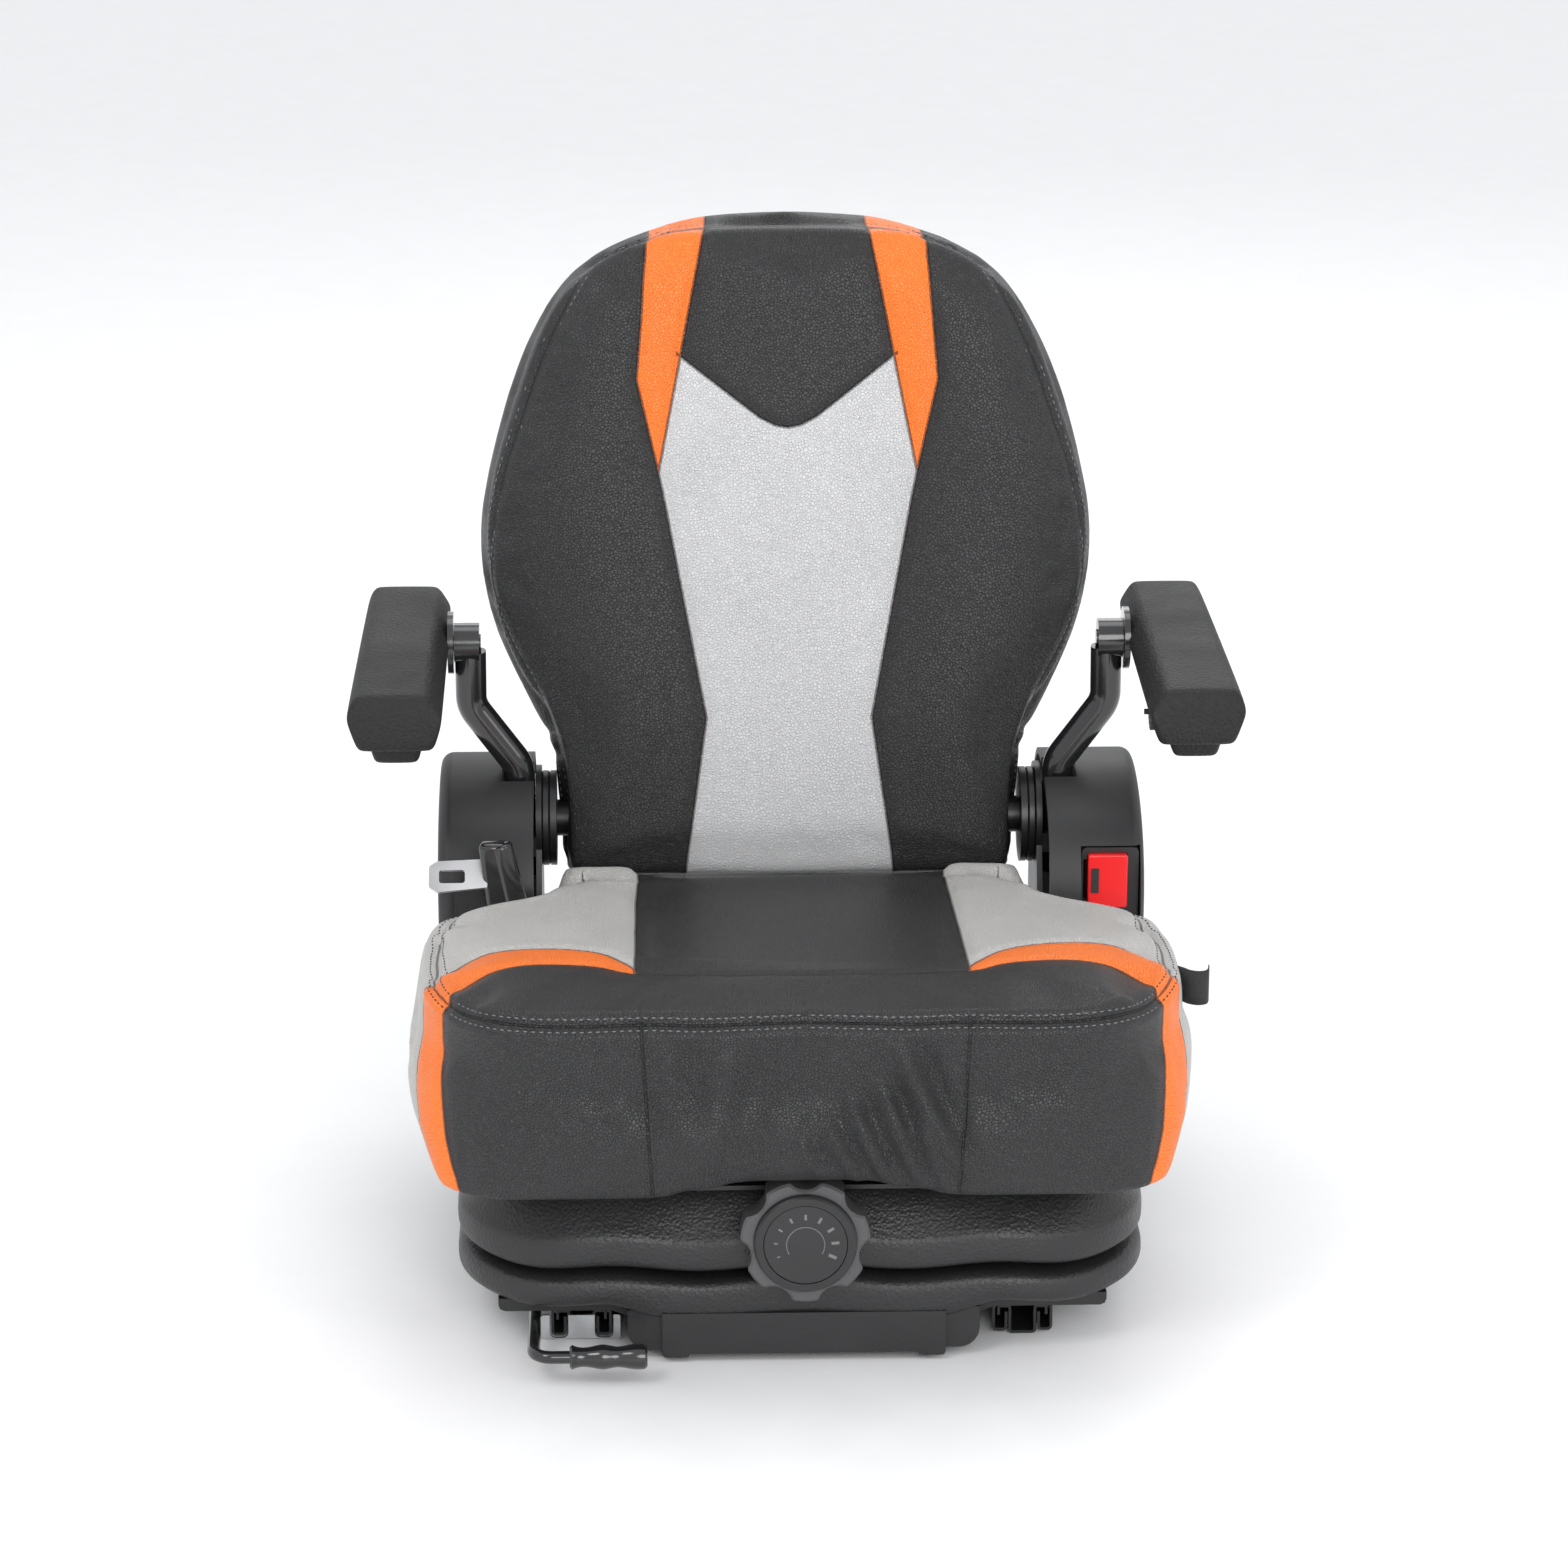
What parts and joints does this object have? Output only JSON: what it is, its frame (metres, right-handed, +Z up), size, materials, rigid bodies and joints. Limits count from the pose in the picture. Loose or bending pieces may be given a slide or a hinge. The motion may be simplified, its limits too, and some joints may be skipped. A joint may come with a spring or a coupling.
{
  "type": "tractor suspension seat",
  "caption": "Suspension seat for a tractor or other machine: leather cushion and reclining back, folding armrests, side covers, belt, rubber bellows over a scissor frame, and slide rails.",
  "frame": {"origin": "centre of the four floor bolt holes of the slide rails, on the floor", "axes": "+Z up, -Y towards the front of the seat, +X to the right of a person who faces the seat"},
  "size_m": [0.606, 0.5458, 0.6836],
  "materials": {
    "zinc_steel": "zinc-plated sheet, satin",
    "black_steel": "black powder coat, satin",
    "bright_steel": "bright steel, satin",
    "chrome": "chrome plate",
    "nylon": "natural nylon",
    "black_plastic": "moulded plastic, fine grain",
    "gloss_plastic": "moulded plastic, glossy",
    "knob_plastic": "moulded plastic, grey",
    "red_plastic": "moulded plastic, red",
    "bellows_rubber": "moulded rubber, satin",
    "leather": "grained artificial leather with grey and orange panels",
    "foam_grip": "grained polyurethane skin",
    "webbing": "woven polyester"
  },
  "bodies": {
    "base": {"lower_rail_left": "bright_steel", "lower_rail_right": "bright_steel", "rail_stop": "zinc_steel"},
    "carriage": {"upper_rail_left": "zinc_steel", "upper_rail_right": "zinc_steel", "rail_glides": "nylon", "base_pan": "bright_steel", "base_pins": "bright_steel", "base_trough": "gloss_plastic", "bellows": "bellows_rubber"},
    "slide_lever": {"slide_lever": "black_steel", "lever_grip": "gloss_plastic"},
    "scissor_a": {"scissor_outer": "black_steel", "scissor_pins": "bright_steel", "rollers_upper": "nylon"},
    "scissor_b": {"scissor_inner": "black_steel", "rollers_lower": "nylon"},
    "damper_lower": {"damper_body": "black_steel"},
    "damper_upper": {"damper_rod": "bright_steel"},
    "seat": {"upper_frame": "black_steel", "frame_pins": "bright_steel", "seat_pan": "black_steel", "seat_cushion": "leather", "cushion_tag": "webbing", "side_bracket_left": "black_steel", "side_bracket_right": "black_steel", "recliner_left": "black_steel", "recliner_right": "black_steel", "console_left": "black_plastic", "console_right": "black_plastic", "belt_retractor": "black_steel", "belt_spool": "bright_steel", "belt_webbing": "webbing", "belt_tongue": "chrome", "tongue_sleeve": "black_plastic", "buckle_body": "black_plastic", "buckle_stalk": "black_steel", "arm_tube_left": "gloss_plastic", "arm_tube_right": "gloss_plastic", "tube_clamps": "black_steel", "fasteners": "bright_steel", "suspension_springs": "black_steel"},
    "weight_adjuster": {"weight_knob": "knob_plastic", "knob_dial": "black_plastic", "weight_spindle": "bright_steel"},
    "tension_bar": {"tension_bar": "zinc_steel"},
    "back": {"recliner_moving": "black_steel", "backrest_frame": "black_steel", "backrest_cushion": "leather", "backrest_shell": "black_plastic"},
    "recline_lever": {"recline_lever": "black_steel", "recline_grip": "black_plastic"},
    "armrest_left": {"armrest_pad_left": "foam_grip", "armrest_hub_left": "black_steel"},
    "armrest_right": {"armrest_pad_right": "foam_grip", "armrest_hub_right": "black_steel"},
    "adjuster_left": {"armrest_adjuster_left": "black_plastic"},
    "adjuster_right": {"armrest_adjuster_right": "black_plastic"},
    "buckle_button": {"buckle_button": "red_plastic"}
  },
  "joints": [
    {"name": "fore_aft_slide", "type": "slide", "parent": "base", "child": "carriage", "axis": [0, 1, 0], "range_m": [-0.06, 0.06]},
    {"name": "slide_release", "type": "hinge", "parent": "carriage", "child": "slide_lever", "pos_m": [-0.179, -0.1, 0.0195], "axis": [0, -1, 0], "range_deg": [0, 12], "stiffness_Nm_per_rad": 1.2, "springref_deg": -8.59},
    {"name": "suspension_travel", "type": "slide", "parent": "carriage", "child": "seat", "axis": [0, 0, 1], "range_m": [-0.05, 0], "stiffness_N_per_m": 9000, "springref_m": 0.06, "deforming": ["bellows", "suspension_springs"]},
    {"name": "scissor_fold", "type": "hinge", "parent": "carriage", "child": "scissor_a", "pos_m": [0, 0.126, 0.042], "axis": [-1, 0, 0], "range_deg": [-11.2, 0.2]},
    {"name": "scissor_cross", "type": "hinge", "parent": "scissor_a", "child": "scissor_b", "pos_m": [0, 0, 0.074], "axis": [-1, 0, 0], "range_deg": [-0.4, 22.4]},
    {"name": "damper_swing", "type": "hinge", "parent": "carriage", "child": "damper_lower", "pos_m": [0.085, 0.06, 0.04], "axis": [-1, 0, 0], "range_deg": [-16.2, 0.2]},
    {"name": "damper_stroke", "type": "slide", "parent": "damper_lower", "child": "damper_upper", "axis": [0, -0.9359, 0.3523], "range_m": [-0.0112, 0.0002]},
    {"name": "weight_setting", "type": "hinge", "parent": "seat", "child": "weight_adjuster", "pos_m": [0, -0.236, 0.0955], "axis": [0, -1, 0], "range_deg": [0, 1440], "deforming": ["suspension_springs"]},
    {"name": "tension_travel", "type": "slide", "parent": "seat", "child": "tension_bar", "axis": [0, 1, 0], "range_m": [0, 0.01602]},
    {"name": "back_recline", "type": "hinge", "parent": "seat", "child": "back", "pos_m": [0, 0.17, 0.257], "axis": [-1, 0, 0], "range_deg": [-10, 30]},
    {"name": "recline_release", "type": "hinge", "parent": "seat", "child": "recline_lever", "pos_m": [0.25, 0.17, 0.186], "axis": [-1, 0, 0], "range_deg": [0, 25], "stiffness_Nm_per_rad": 0.8, "springref_deg": -17.19},
    {"name": "armrest_left_lift", "type": "hinge", "parent": "seat", "child": "armrest_left", "pos_m": [-0.236, 0.15, 0.394], "axis": [-1, 0, 0], "range_deg": [0, 90]},
    {"name": "armrest_right_lift", "type": "hinge", "parent": "seat", "child": "armrest_right", "pos_m": [0.236, 0.15, 0.394], "axis": [-1, 0, 0], "range_deg": [0, 90]},
    {"name": "adjuster_left_turn", "type": "hinge", "parent": "armrest_left", "child": "adjuster_left", "pos_m": [-0.252, 0.06, 0.367], "axis": [1, 0, 0], "range_deg": [-180, 180]},
    {"name": "adjuster_right_turn", "type": "hinge", "parent": "armrest_right", "child": "adjuster_right", "pos_m": [0.252, 0.06, 0.367], "axis": [1, 0, 0], "range_deg": [-180, 180]},
    {"name": "buckle_press", "type": "slide", "parent": "seat", "child": "buckle_button", "axis": [0, 1, 0], "range_m": [0, 0.005], "stiffness_N_per_m": 900, "springref_m": -0.003}
  ],
  "couplings": [
    {"joint": "scissor_fold", "follows": "suspension_travel", "rad_per_m": 3.8957},
    {"joint": "scissor_cross", "follows": "suspension_travel", "rad_per_m": -7.7914},
    {"joint": "damper_swing", "follows": "suspension_travel", "rad_per_m": 5.558},
    {"joint": "damper_stroke", "follows": "suspension_travel", "ratio": 0.2215},
    {"joint": "tension_travel", "follows": "weight_setting", "m_per_rad": 0.00063662}
  ]
}
